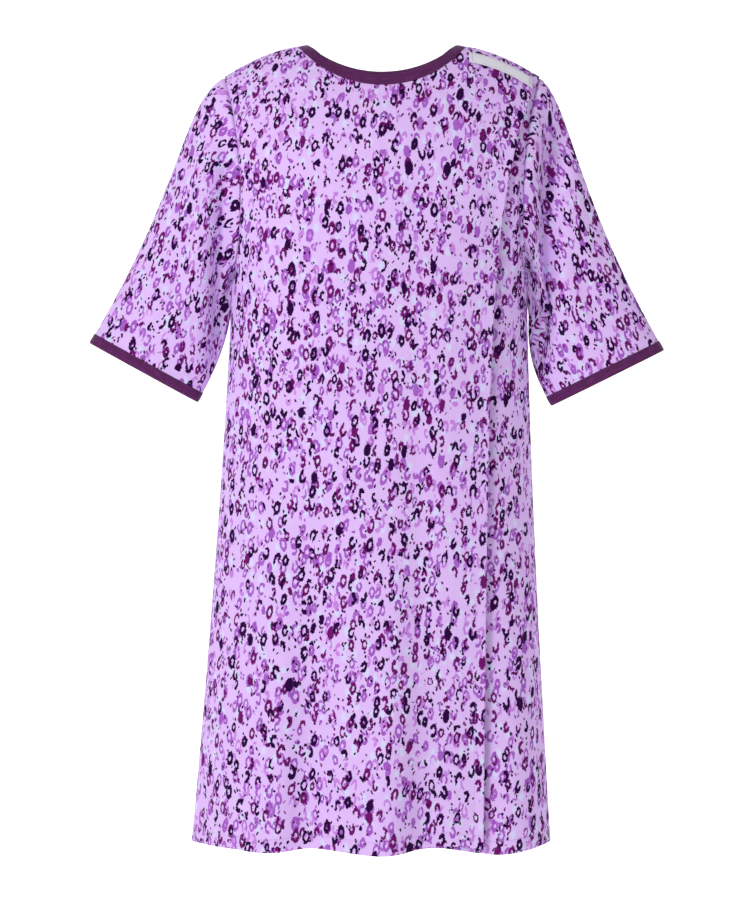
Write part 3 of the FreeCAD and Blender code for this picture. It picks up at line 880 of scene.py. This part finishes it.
def twill_tape():
    """White twill tape with its slanting ribs."""
    colour = bpy.context.scene.gown_colours.twill
    finish = Finish("WhiteTwill", Roughness=0.8, Specular_IOR_Level=0.3)
    flat = finish.places()
    ribs = weave(finish, flat, 0.9, 1.0)
    soil = finish.noise(flat, 9.0, 3.0)[0]
    tone = finish.mix(soil, tuple(colour), [c * 0.9 for c in colour])
    finish.feed(Base_Color=finish.mix(ribs * 0.12 + 0.12, tone, [c * 0.72 for c in colour]))
    finish.feed(Roughness=0.76 + ribs * 0.06)
    finish.raise_by(ribs * 0.2, 0.0006)
    return finish.material


def label_satin():
    """Blank satin label with a fine warp."""
    colour = bpy.context.scene.gown_colours.label
    finish = Finish("LabelSatin", Roughness=0.4, Specular_IOR_Level=0.5)
    flat = finish.places()
    warp = weave(finish, flat * (1.0, 0.25, 1.0), 0.5)
    finish.feed(Base_Color=finish.mix(warp * 0.1 + 0.1, tuple(colour), [c * 0.85 for c in colour]))
    finish.feed(Roughness=0.38 + warp * 0.05)
    finish.raise_by(warp * 0.2, 0.0004)
    return finish.material


def snap_metal():
    """Satin metal of the snaps, with fine turning marks and darker wear."""
    colour = bpy.context.scene.gown_colours.snap
    finish = Finish("SnapMetal", Metallic=1.0, Roughness=0.3)
    flat = finish.node("ShaderNodeTexCoord", {}, {})[3] * 1000.0
    wear = finish.node("ShaderNodeTexNoise", {}, {"Vector": flat, "Scale": 0.9, "Detail": 4.0})[0]
    stretched = flat * (1.0, 1.0, 9.0)
    marks = finish.node("ShaderNodeTexNoise", {}, {"Vector": stretched, "Scale": 2.0, "Detail": 2.0})[0]
    finish.feed(Base_Color=finish.mix(wear, [c * 0.75 for c in colour], tuple(colour)))
    finish.feed(Roughness=0.24 + wear * 0.18)
    finish.raise_by(marks, 0.0001)
    return finish.material


def thread_material(name, colour):
    """Twisted sewing thread."""
    finish = Finish(name, Roughness=0.6, Sheen_Weight=0.2, Specular_IOR_Level=0.4)
    flat = finish.node("ShaderNodeTexCoord", {}, {})[3] * 1000.0
    x, y, z = finish.apart(flat)
    twist = finish.sine((x + y + z) * 14.0)
    finish.feed(Base_Color=finish.mix(twist * 0.5 + 0.5, [c * 0.72 for c in colour], tuple(colour)))
    finish.raise_by(twist, 0.00006)
    return finish.material


def finish_named(name, maker, *options):
    return bpy.data.materials.get(name) or maker(*options)


def printed():
    return finish_named("PrintedCloth", print_cloth)


def plum():
    return finish_named("PlumBinding", binding_cloth)


def lilac_thread():
    colour = tuple(bpy.context.scene.gown_colours.thread)
    return finish_named("LilacThread", thread_material, "LilacThread", colour)


def plum_thread():
    return finish_named("PlumThread", thread_material, "PlumThread", paint("4d1552"))


def white_thread():
    return finish_named("WhiteThread", thread_material, "WhiteThread", paint("a9adb8"))


# Pieces


def across_joint(piece):
    """Bakes an over panel piece's placement into its mesh."""
    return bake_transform(piece)


def bend_sleeve(piece):
    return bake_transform(piece)


def flat_size(lay):
    return [round(float(np.ptp(lay[..., axis])), 3) for axis in (0, 1)]


def area_of(grid):
    a, b = grid[1:, 1:] - grid[:-1, :-1], grid[1:, :-1] - grid[:-1, 1:]
    return float(np.linalg.norm(np.cross(a, b), axis=-1).sum() / 2)


def sheet_area(grid, width, length):
    """Area of a piece's own cloth, never more than its flat sheet."""
    return min(area_of(grid), 0.999 * width * length)


def ride_together(parts, body):
    for part in parts:
        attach(part, body)


def ride_layer(layer, parts):
    """The over panel's pieces have their placement baked in; the others ride on the body of the gown."""
    if layer == "over":
        for part in parts:
            across_joint(part)
    else:
        ride_together(parts, "root")


def panel_stitches(layer):
    """Hem stitches of a panel and, on the back, the row that holds its facing."""
    sizes = bpy.context.scene.gown_sizes
    drops = panel_drops()
    left, right = edge_turns(layer, drops, -1), edge_turns(layer, drops, 1)
    low = np.searchsorted(drops, LENGTH - sizes.hem - 2e-4)
    turns = np.linspace(left[low] + 0.01, right[low] - 0.01, 400)
    level = np.full(400, LENGTH - sizes.hem)
    top = cloth_point(layer, turns, level, sizes.cloth / 2 - 0.0002)
    rows = [stitches(top, normals_of(top, cloth_point(layer, turns, level, -0.0004)))]
    if layer != "front":
        sign = 1 if layer == "over" else -1
        z = np.linspace(TIP_Z - 0.004, -LENGTH + sizes.hem, 400)
        x = sign * (free_edge_x(z) - sizes.facing)
        line, normals = seam_line(layer, x, z)
        rows.append(stitches(line - normals * 0.0002, normals))
    return joined(rows)


def build_panel(layer, name, nodes):
    outer, inner = panel_sheets(layer)
    lay = panel_lay(layer, *panel_places(layer))
    lay = lay + {"front": (0.9, 0.3), "under": (2.1, -0.15), "over": (0.0, 0.0)}[layer]
    made = shell(outer, inner, lay)
    piece = make_piece(name, made, printed(), layer == "front")
    thread = make_piece(name + "_stitches", panel_stitches(layer), lilac_thread())
    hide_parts(*nodes)
    ride_layer(layer, (piece, thread))
    width, length = flat_size(lay)
    area = sheet_area((outer + inner) / 2, width, length)


def binding_section(width, half):
    """Section of a tape folded over an edge: distance inside the edge, and stand off the cloth."""
    tape = 0.0006
    return [
        (width, half),
        (width + 0.0002, half + tape * 0.6),
        (width - 0.0008, half + tape),
        (width * 0.55, half + tape + 0.0003),
        (0.0012, half + tape + 0.0002),
        (-0.0009, half * 0.6 + tape * 0.8),
        (-0.0014, 0.0),
        (-0.0009, -half * 0.6 - tape * 0.8),
        (0.0012, -half - tape - 0.0002),
        (width * 0.55, -half - tape - 0.0003),
        (width - 0.0008, -half - tape),
        (width + 0.0002, -half - tape * 0.6),
        (width, -half),
        (width * 0.5, -half + 0.0001),
        (0.0006, -half * 0.6),
        (0.0002, 0.0),
        (0.0006, half * 0.6),
        (width * 0.5, half - 0.0001),
    ]


def neck_path(layer, inside, count=150):
    """Points in x and z at a distance inside the neck's edge."""
    fall = NECK_DROPS[layer]
    radius = (NECK_HALF**2 + fall**2) / (2 * fall)
    half_turn = math.asin(NECK_HALF / radius)
    angles = np.linspace(-half_turn, half_turn, count)
    reach = radius + inside
    return reach * np.sin(angles), radius - fall - reach * np.cos(angles)


def build_neck_binding(layer, name, node):
    sizes = bpy.context.scene.gown_sizes
    half = sizes.cloth / 2 + 0.0001
    section = binding_section(sizes.binding, half)
    rows = []
    for inside, stand in section:
        x, z = neck_path(layer, inside)
        rows.append(at(layer, x, np.minimum(z, ridge(x) - 3e-5), stand))
    sections = np.stack(rows, 1)
    piece = make_piece(name, swept(sections), plum())
    x, z = neck_path(layer, sizes.binding - 0.0014)
    z = np.minimum(z, ridge(x) - 3e-5)
    top = at(layer, x, z, half + 0.0006)
    thread = stitches(top, normals_of(top, at(layer, x, z, 0.0)))
    sewn = make_piece(name + "_stitches", thread, plum_thread())
    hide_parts(node)
    ride_layer(layer, (piece, sewn))


def build_sleeve(name):
    sizes = bpy.context.scene.gown_sizes
    shares = sleeve_shares()
    middle, normal = sleeve_shape(name, shares, SLEEVE_TURNS)
    tuck = 0.0012 * (1 - fade(shares / 0.012))[:, None, None]
    outer = middle + normal * (sizes.cloth / 2 - tuck)
    inner = middle - normal * (sizes.cloth / 2 + tuck)
    lay = sleeve_lay(name, middle) + ((3.3, 0.4) if name == "left" else (5.2, 0.9))
    made = shell(outer, inner, lay, around=True)
    piece = make_piece(name + "_sleeve", made, printed(), name == "left")
    open_seam_uv(piece)
    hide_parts(name + "_sleeve_head", name + "_sleeve_end")
    bend_sleeve(piece)
    width = round(float(lengths_along(middle, 1)[:, -1].max()), 3)
    length = round(float(lengths_along(middle, 0)[-1].max()), 3)
    sheet_area(middle, width, length)


def open_seam_uv(piece):
    """Gives the faces on the underarm seam their own flat places, so the print doesn't run back round."""
    mesh = piece.data
    layer = mesh.uv_layers["Cloth"].data
    places = np.zeros(len(mesh.loops) * 2, np.float32)
    layer.foreach_get("uv", places)
    places = places.reshape(-1, 2)
    starts = np.zeros(len(mesh.polygons), np.int32)
    totals = np.zeros(len(mesh.polygons), np.int32)
    mesh.polygons.foreach_get("loop_start", starts)
    mesh.polygons.foreach_get("loop_total", totals)
    for start, total in zip(starts, totals):
        us = places[start : start + total, 0]
        if us.max() - us.min() > 0.05:
            near = us < (us.max() + us.min()) / 2
            places[start : start + total, 0] = np.where(near, us.max() + 0.005, us)
    layer.foreach_set("uv", places.ravel())


def build_cuff(name):
    sizes = bpy.context.scene.gown_sizes
    half = sizes.cloth / 2 + 0.0001
    turns = SLEEVE_TURNS
    ends, normal = sleeve_shape(name, np.array([0.90, 0.94, 0.98, 1.0]), turns)
    up = ends[1] - ends[3]
    up = up / np.linalg.norm(up, axis=-1, keepdims=True)
    out = normal[3]
    rows = [ends[3] + up * inside + out * stand for inside, stand in binding_section(sizes.binding, half)]
    sections = np.stack(rows, 1)
    piece = make_piece(name + "_cuff", swept(sections, True), plum(), name == "left")
    line = ends[3] + up * (sizes.binding - 0.0014) + out * (half + 0.0006)
    line, around = (np.concatenate([run, run[:1]]) for run in (line, out))
    sewn = make_piece(name + "_cuff_stitches", stitches(line, around), plum_thread())
    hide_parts(name + "_cuff_binding")
    ride_together((piece, sewn), name + "_sleeve_tip")


def tape_grid(layer, xs, drops, stand, bow=0.0):
    """A strip of tape laid on a layer, between two x and two drops below the ridge."""
    share, level = np.meshgrid(np.linspace(0, 1, 44), np.linspace(0, 1, 9))
    x = xs[0] + (xs[1] - xs[0]) * share
    drop = drops[0] + (drops[1] - drops[0]) * level + bow * np.sin(math.pi * share)
    round_off = 0.0003 * (np.abs(2 * level - 1) ** 6 + np.abs(2 * share - 1) ** 30)
    turn = np.arcsin((x - sway(drop)) / half_width(drop))
    return cloth_point(layer, turn, drop, stand - round_off)


def tape_outline(grid, inner, inset):
    """Path round a tape, one grid line in from its edge."""
    normals = normals_of(grid, inner)
    rows, columns = grid.shape[:2]
    a, b = inset, rows - 1 - inset
    run = [(a, j) for j in range(a, columns - a)] + [(i, columns - 1 - a) for i in range(a, b)]
    run += [(b, j) for j in range(columns - 1 - a, a - 1, -1)] + [(i, a) for i in range(b, a - 1, -1)]
    return np.array([grid[i, j] for i, j in run]), np.array([normals[i, j] for i, j in run])


def build_tape(layer, name, xs, drops, low, thick, material, bow=0.0):
    outer = tape_grid(layer, xs, drops, low + thick, bow)
    inner = tape_grid(layer, xs, drops, low, bow)
    lay = lengths_lay(outer)
    piece = make_piece(name, shell(outer, inner, lay), material)
    return piece, outer, inner, lay


def seam_strip(points, inwards, wide, thick):
    """Two layers of seam allowance that stand in from a seam line, as one closed strip."""
    steps = np.linspace(0.0, wide, 6)[:, None, None]
    middle = points[None] + inwards[None] * steps
    along = np.gradient(points, axis=0)
    normal = np.cross(along, inwards)
    normal /= np.maximum(np.linalg.norm(normal, axis=-1, keepdims=True), 1e-9)
    ripple = 0.0004 * np.sin(np.arange(len(points)) * 0.9)[None, :, None] * (steps / wide)
    outer = middle + normal[None] * (thick / 2 + ripple)
    inner = middle - normal[None] * (thick / 2 - ripple)
    return outer, inner, normal


def build_seam(name, node, points, inwards, wide):
    outer, inner, normal = seam_strip(points, inwards, wide, 0.0013)
    lay = lengths_lay((outer + inner) / 2) + (7.0, 0.0)
    piece = make_piece(name, shell(outer, inner, lay), printed())
    edge = points + inwards * (wide - 0.0012) + normal * 0.0009
    other = points + inwards * (wide - 0.0012) - normal * 0.0009
    overlock = (0.0022, 0.9, 0.0003, 0.0026)
    rows = [stitches(edge, normal, *overlock), stitches(other, -normal, *overlock)]
    sewn = make_piece(name + "_overlock", joined(rows), lilac_thread())
    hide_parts(node)
    ride_together((piece, sewn), "root")
    width, length = flat_size(lay)
    sheet_area(outer, width, length)


class GOWN_OT_front_panel(bpy.types.Operator):
    """Front panel with its hem."""

    bl_idname = "gown.front_panel"
    bl_label = "Front panel"

    def execute(self, context):
        build_panel("front", "front_panel_cloth", ["front_panel"])
        return {"FINISHED"}


class GOWN_OT_under_panel(bpy.types.Operator):
    """Back panel that lies underneath, sewn to the right side."""

    bl_idname = "gown.under_panel"
    bl_label = "Under panel"

    def execute(self, context):
        build_panel("under", "under_panel", ["back_under_panel"])
        return {"FINISHED"}


class GOWN_OT_over_panel(bpy.types.Operator):
    """Back panel that lies on top, sewn to the left side; the real panel folds open, this one is built
    closed.
    """

    bl_idname = "gown.over_panel"
    bl_label = "Over panel"

    def execute(self, context):
        nodes = ["over_panel_side", "over_panel_flap"]
        build_panel("over", "over_panel", nodes)
        return {"FINISHED"}


class GOWN_OT_sleeves(bpy.types.Operator):
    """Left and right elbow sleeve."""

    bl_idname = "gown.sleeves"
    bl_label = "Sleeves"

    def execute(self, context):
        for name in ("left", "right"):
            build_sleeve(name)
        return {"FINISHED"}


class GOWN_OT_neck_bindings(bpy.types.Operator):
    """Plum binding round the three neck edges."""

    bl_idname = "gown.neck_bindings"
    bl_label = "Neck bindings"

    def execute(self, context):
        for layer in ("front", "under", "over"):
            build_neck_binding(layer, layer + "_neck_tape", layer + "_neck_binding")
        return {"FINISHED"}


class GOWN_OT_cuffs(bpy.types.Operator):
    """Plum binding round both sleeve ends."""

    bl_idname = "gown.cuffs"
    bl_label = "Cuffs"

    def execute(self, context):
        for name in ("left", "right"):
            build_cuff(name)
        return {"FINISHED"}


class GOWN_OT_tapes(bpy.types.Operator):
    """White twill tapes that back the snaps on both shoulders."""

    bl_idname = "gown.tapes"
    bl_label = "Closure tapes"

    def execute(self, context):
        twill = twill_tape()
        piece, outer, inner, lay = build_tape(
            "over", "snap_tape", TAPE_ACROSS, TAPE_DROPS, 0.0019, TAPE_THICK, twill, -0.0006
        )
        line, normals = tape_outline(outer, inner, 1)
        rows = [stitches(line, normals, 0.0026, 0.7, 0.00028)]
        for j in (2, 41):
            run = outer[1:8, j]
            rows.append(stitches(run, normals_of(outer, inner)[1:8, j], 0.0016, 0.8, 0.0004, 0.0012))
        sewn = make_piece("snap_tape_stitches", joined(rows), white_thread())
        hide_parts("shoulder_tape")
        ride_together((piece, sewn), "over_flap")
        mirrored = (-TAPE_ACROSS[1], -TAPE_ACROSS[0])
        piece, outer, inner, lay = build_tape(
            "under", "inner_snap_tape", mirrored, TAPE_DROPS, -0.0026, TAPE_THICK, twill
        )
        line, normals = tape_outline(inner, outer, 1)
        row = stitches(line, normals, 0.0026, 0.7, 0.00028)
        sewn = make_piece("inner_snap_tape_stitches", row, white_thread())
        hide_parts("hidden_tape")
        ride_together((piece, sewn), "root")
        return {"FINISHED"}


class GOWN_OT_snaps(bpy.types.Operator):
    """Metal finish of the snaps."""

    bl_idname = "gown.snaps"
    bl_label = "Snaps"

    def execute(self, context):
        metal = snap_metal()
        for name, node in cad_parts.items():
            if "_snap_" in name:
                node.data.materials.clear()
                node.data.materials.append(metal)
        return {"FINISHED"}


class GOWN_OT_care_label(bpy.types.Operator):
    """Blank label inside the back neck."""

    bl_idname = "gown.care_label"
    bl_label = "Care label"

    def execute(self, context):
        across, drops = (-0.019, 0.019), (0.066, 0.108)
        piece, outer, inner, lay = build_tape(
            "under", "blank_label", across, drops, -0.0022, 0.0005, label_satin()
        )
        edge, normals = inner[1, :], normals_of(inner, outer)[1, :]
        row = stitches(edge, normals, 0.0024, 0.7, 0.00025)
        sewn = make_piece("blank_label_stitches", row, white_thread())
        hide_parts("care_label")
        ride_together((piece, sewn), "root")
        return {"FINISHED"}


class GOWN_OT_seams(bpy.types.Operator):
    """Overlocked seam allowances inside the sides, shoulders and armholes."""

    bl_idname = "gown.seams"
    bl_label = "Seam allowances"

    def execute(self, context):
        for name, sign in (("left", -1), ("right", 1)):
            drops = np.linspace(-PIT_Z + 0.008, LENGTH - 0.002, 160)
            line = torso(BACK, np.full(160, sign * math.pi / 2), drops) - [sign * 0.0004, 0, 0]
            inwards = np.tile([-sign * 1.0, 0.0, 0.0], (160, 1))
            build_seam(name + "_side_allowance", name + "_side_seam", line, inwards, 0.0106)
            x = sign * np.linspace(NECK_HALF + 0.003, TIP_X - 0.009, 40)
            line = np.stack([x, 0 * x, ridge(x) - 0.0004], -1)
            down = np.tile([0.0, 0.0, -1.0], (40, 1))
            build_seam(name + "_shoulder_allowance", name + "_shoulder_seam", line, down, 0.0106)
            turns = np.linspace(0.2, 2 * math.pi - 0.2, 150)
            turns = turns[np.abs(turns - math.pi) > 0.42]
            ring = armhole_ring(name, turns)
            centre = np.array([0.0, 0.0, (TIP_Z + PIT_Z) / 2])
            inwards = (centre - ring) * [0, 1, 1]
            inwards /= np.linalg.norm(inwards, axis=-1, keepdims=True)
            for half, chosen in (("front", turns < math.pi), ("back", turns > math.pi)):
                self.armhole_half(name, half, ring[chosen], inwards[chosen], sign)
        return {"FINISHED"}

    def armhole_half(self, name, half, ring, inwards, sign):
        line = ring + inwards * 0.0008 - [sign * 0.0008, 0, 0]
        build_seam(f"{name}_armhole_{half}_allowance", name + "_armhole_seam", line, inwards, 0.0106)


class GOWN_OT_stage(bpy.types.Operator):
    """Plain pale floor and backdrop, soft light and the camera."""

    bl_idname = "gown.stage"
    bl_label = "Stage"

    def execute(self, context):
        scene = context.scene
        scene.view_settings.view_transform = "Standard"
        self.backdrop(scene)
        scene.world = self.studio_sky()
        self.area("KeyLight", (-2.6, -2.8, 0.9), 1.5, 77)
        self.area("FillLight", (2.4, -3.0, 0.2), 2.6, 18)
        self.area("TopLight", (0.0, -0.6, 2.0), 2.2, 18)
        self.area("FrontLight", (-1.8, 3.0, 0.6), 2.4, 34)
        self.area("SideLight", (2.2, 2.6, 0.0), 2.4, 16)
        camera = bpy.data.cameras.new("Camera")
        camera.sensor_fit = "VERTICAL"
        camera.sensor_width = camera.sensor_height = 36.0
        camera.lens = 92.5
        holder = bpy.data.objects.new("Camera", camera)
        holder.location = (-0.0097, -3.2, -0.559)
        holder.rotation_euler = (math.pi / 2, 0, 0)
        scene.collection.objects.link(holder)
        scene.camera = holder
        return {"FINISHED"}

    def studio_sky(self):
        """Even white light all round, dimmer as a light than it looks."""
        world = bpy.data.worlds.new("Studio")
        world.use_nodes = True
        tree = world.node_tree
        sky = tree.nodes["Background"]
        sky.inputs["Color"].default_value = (1.0, 1.0, 1.0, 1.0)
        seen = tree.nodes.new("ShaderNodeLightPath").outputs["Is Camera Ray"]
        level = tree.nodes.new("ShaderNodeMapRange")
        level.inputs["To Min"].default_value = 0.27
        level.inputs["To Max"].default_value = 1.0
        tree.links.new(seen, level.inputs["Value"])
        tree.links.new(level.outputs["Result"], sky.inputs["Strength"])
        return world

    def backdrop(self, scene):
        """Floor that curves up into a wall behind the gown."""
        gap = scene.gown_sizes.floor
        low = CAD_BOX[0][2] - gap
        turns = np.linspace(0, math.pi / 2, 24)
        curve = [(5.0 + 1.5 * math.sin(t), low + 1.5 * (1 - math.cos(t))) for t in turns]
        profile = [(-9.0, low)] + [(y - 1.5, z) for y, z in curve] + [(5.0, low + 9.0)]
        xs = np.linspace(-12, 12, 9)
        grid = np.array([[(x, y, z) for x in xs] for y, z in profile])
        lay = grid[..., :2]
        rows, columns = grid.shape[:2]
        finish = Finish("PaleFloor", Roughness=0.9, Specular_IOR_Level=0.1)
        flat = finish.node("ShaderNodeTexCoord", {}, {})[3]
        grain = finish.node("ShaderNodeTexNoise", {}, {"Vector": flat, "Scale": 3.0, "Detail": 3.0})[0]
        finish.feed(Base_Color=finish.mix(grain, (0.96, 0.96, 0.97), (0.93, 0.93, 0.94)))
        finish.shader.inputs["Emission Color"].default_value = (1.0, 1.0, 1.0, 1.0)
        finish.shader.inputs["Emission Strength"].default_value = 0.55
        made = (grid.reshape(-1, 3), quads(rows, columns), lay.reshape(-1, 2))
        floor = make_piece("Floor", made, finish.material)

    def area(self, name, place, size, power):
        light = bpy.data.lights.new(name, "AREA")
        light.size = size
        light.energy = power
        holder = bpy.data.objects.new(name, light)
        holder.location = place
        aim = np.array([0.0, 0.0, -0.55]) - np.array(place)
        yaw = math.atan2(aim[0], aim[1])
        pitch = math.atan2(math.hypot(aim[0], aim[1]), -aim[2])
        holder.rotation_euler = (pitch, 0, -yaw)
        bpy.context.scene.collection.objects.link(holder)


class GOWN_PT_sidebar(bpy.types.Panel):
    """The gown's pieces, in the order that they are built in."""

    bl_idname = "GOWN_PT_sidebar"
    bl_label = "Patient gown"
    bl_space_type = "VIEW_3D"
    bl_region_type = "UI"
    bl_category = "Gown"

    def draw(self, context):
        for group in (context.scene.gown_sizes, context.scene.gown_colours):
            for name in group.__annotations__:
                self.layout.prop(group, name)
        for operator in BUILDERS:
            self.layout.operator(operator.bl_idname)


BUILDERS = (
    GOWN_OT_stage,
    GOWN_OT_front_panel,
    GOWN_OT_under_panel,
    GOWN_OT_over_panel,
    GOWN_OT_sleeves,
    GOWN_OT_neck_bindings,
    GOWN_OT_cuffs,
    GOWN_OT_tapes,
    GOWN_OT_snaps,
    GOWN_OT_care_label,
    GOWN_OT_seams,
)
CLASSES = (GownSizes, GownColours, *BUILDERS, GOWN_PT_sidebar)


def register():
    for cls in CLASSES:
        bpy.utils.register_class(cls)
    bpy.types.Scene.gown_sizes = bpy.props.PointerProperty(type=GownSizes)
    bpy.types.Scene.gown_colours = bpy.props.PointerProperty(type=GownColours)


def unregister():
    del bpy.types.Scene.gown_sizes, bpy.types.Scene.gown_colours
    for cls in reversed(CLASSES):
        bpy.utils.unregister_class(cls)


def main():
    register()
    for operator in BUILDERS:
        group, name = operator.bl_idname.split(".")
        getattr(getattr(bpy.ops, group), name)()


if __name__ == "__main__":
    main()
